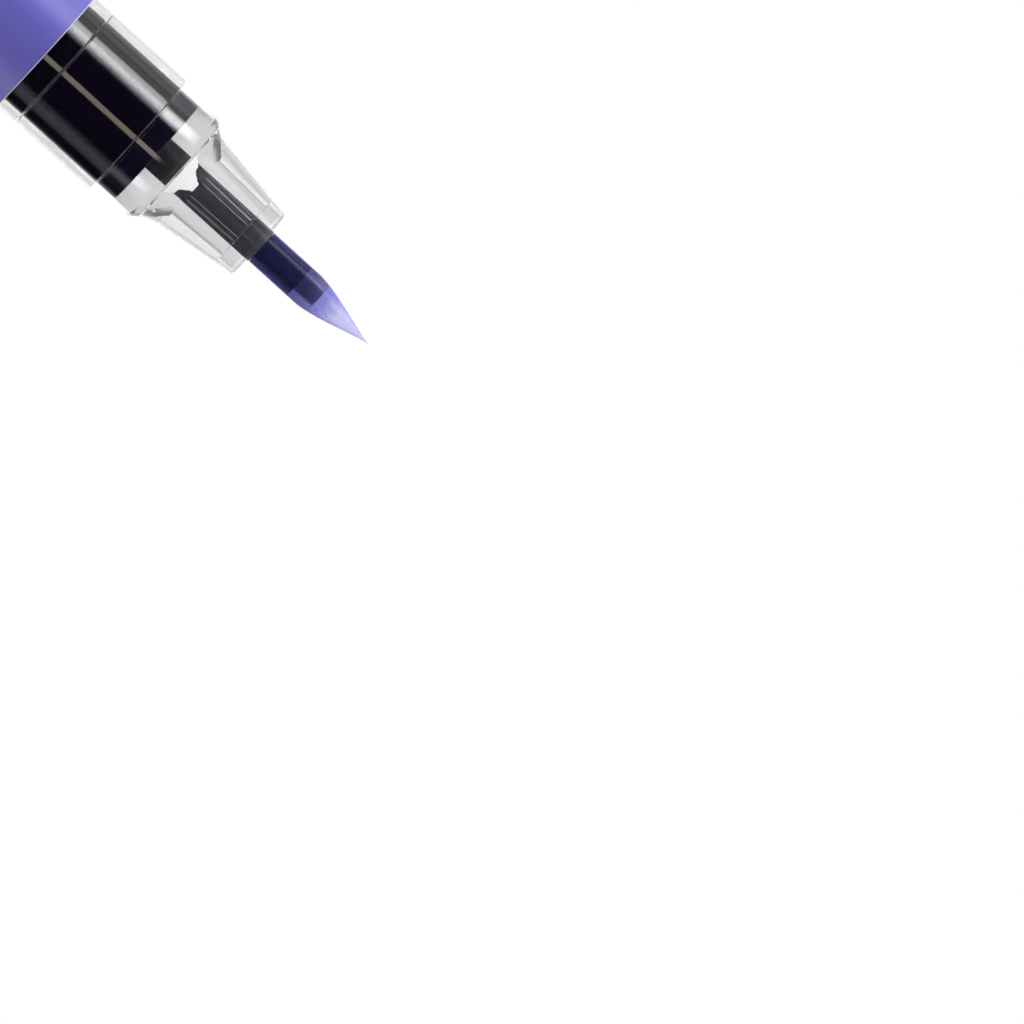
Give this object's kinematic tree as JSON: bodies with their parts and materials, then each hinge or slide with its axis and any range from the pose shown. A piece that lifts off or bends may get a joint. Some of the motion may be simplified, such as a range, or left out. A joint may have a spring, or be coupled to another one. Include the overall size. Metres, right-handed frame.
{
  "type": "paint marker",
  "caption": "Valve-action paint marker with a clear ribbed nose, a soft brush tip fed by a wick, a film-covered clear barrel and a clip cap posted on the tail.",
  "frame": {"origin": "centre of the flat closed end of the posted cap, on which the marker stands", "axes": "+Z along the marker towards the brush tip, +X through the cap's clip"},
  "size_m": [0.0153, 0.0132, 0.1569],
  "materials": {
    "lavender_plastic": "satin",
    "lavender_film": "satin",
    "clear_plastic": "polished clear",
    "black_plastic": "gloss",
    "holder_plastic": "matte",
    "brush_fibre": "soft, soaked with paint",
    "soaked_wick": "soaked felt",
    "rubber": "matte",
    "steel": "plain",
    "liner_plastic": "natural, translucent",
    "white_plastic": "satin"
  },
  "bodies": {
    "cap": {"cap_shell": "lavender_plastic", "cap_liner": "liner_plastic"},
    "barrel": {"tail_plug": "lavender_plastic", "barrel_tube": "clear_plastic", "barrel_sleeve": "lavender_film", "front_section": "clear_plastic", "guide_collar": "white_plastic", "valve_housing": "black_plastic", "housing_cover": "black_plastic", "valve_gasket": "rubber", "valve_spring": "steel"},
    "nib": {"nib_holder": "holder_plastic", "brush_tip": "brush_fibre", "feed_wick": "soaked_wick", "valve_plunger": "holder_plastic"},
    "ball": {"mixing_ball": "steel"}
  },
  "joints": [
    {"name": "cap_pull", "type": "slide", "parent": "cap", "child": "barrel", "axis": [0, 0, 1], "range_m": [0, 0.03]},
    {"name": "nib_press", "type": "slide", "parent": "barrel", "child": "nib", "axis": [0, 0, -1], "range_m": [0, 0.002], "stiffness_N_per_m": 400, "springref_m": -0.002, "deforming": ["valve_spring"]},
    {"name": "ball_drop", "type": "slide", "parent": "barrel", "child": "ball", "axis": [0, 0, 1], "range_m": [0, 0.074]}
  ]
}
